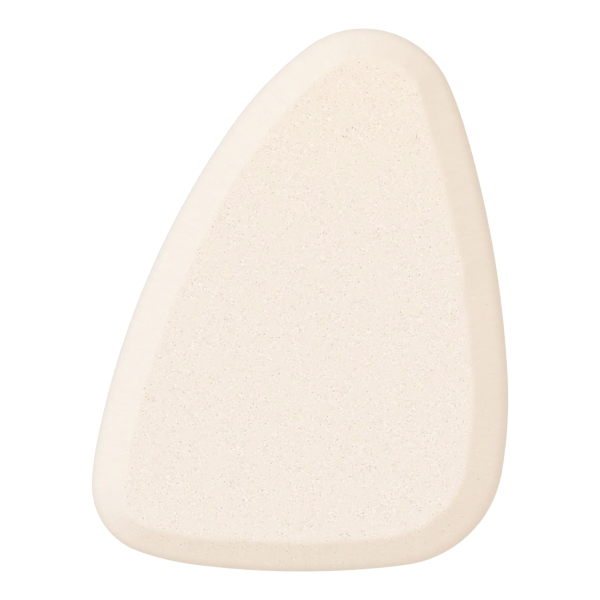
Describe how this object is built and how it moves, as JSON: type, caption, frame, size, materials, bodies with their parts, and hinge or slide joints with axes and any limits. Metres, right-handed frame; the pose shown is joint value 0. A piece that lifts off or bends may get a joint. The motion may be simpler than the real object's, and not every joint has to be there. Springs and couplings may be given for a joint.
{
  "type": "makeup sponge",
  "caption": "Flat foam makeup sponge with a rounded-triangle outline, two flat faces and soft ground edges, for blending foundation by hand.",
  "frame": {"origin": "on the flat underside, below the middle of the pad's length and width", "axes": "+Z out of the upper flat face, +Y towards the nose along the pad's length, +X towards the side with the larger heel corner"},
  "size_m": [0.0576, 0.075, 0.01],
  "materials": {
    "foam": "matt fine open-celled foam in pale ivory, cut and pored on the flat faces and ground smooth on the sloped edges"
  },
  "bodies": {
    "root": {"sponge": "foam"}
  },
  "joints": []
}
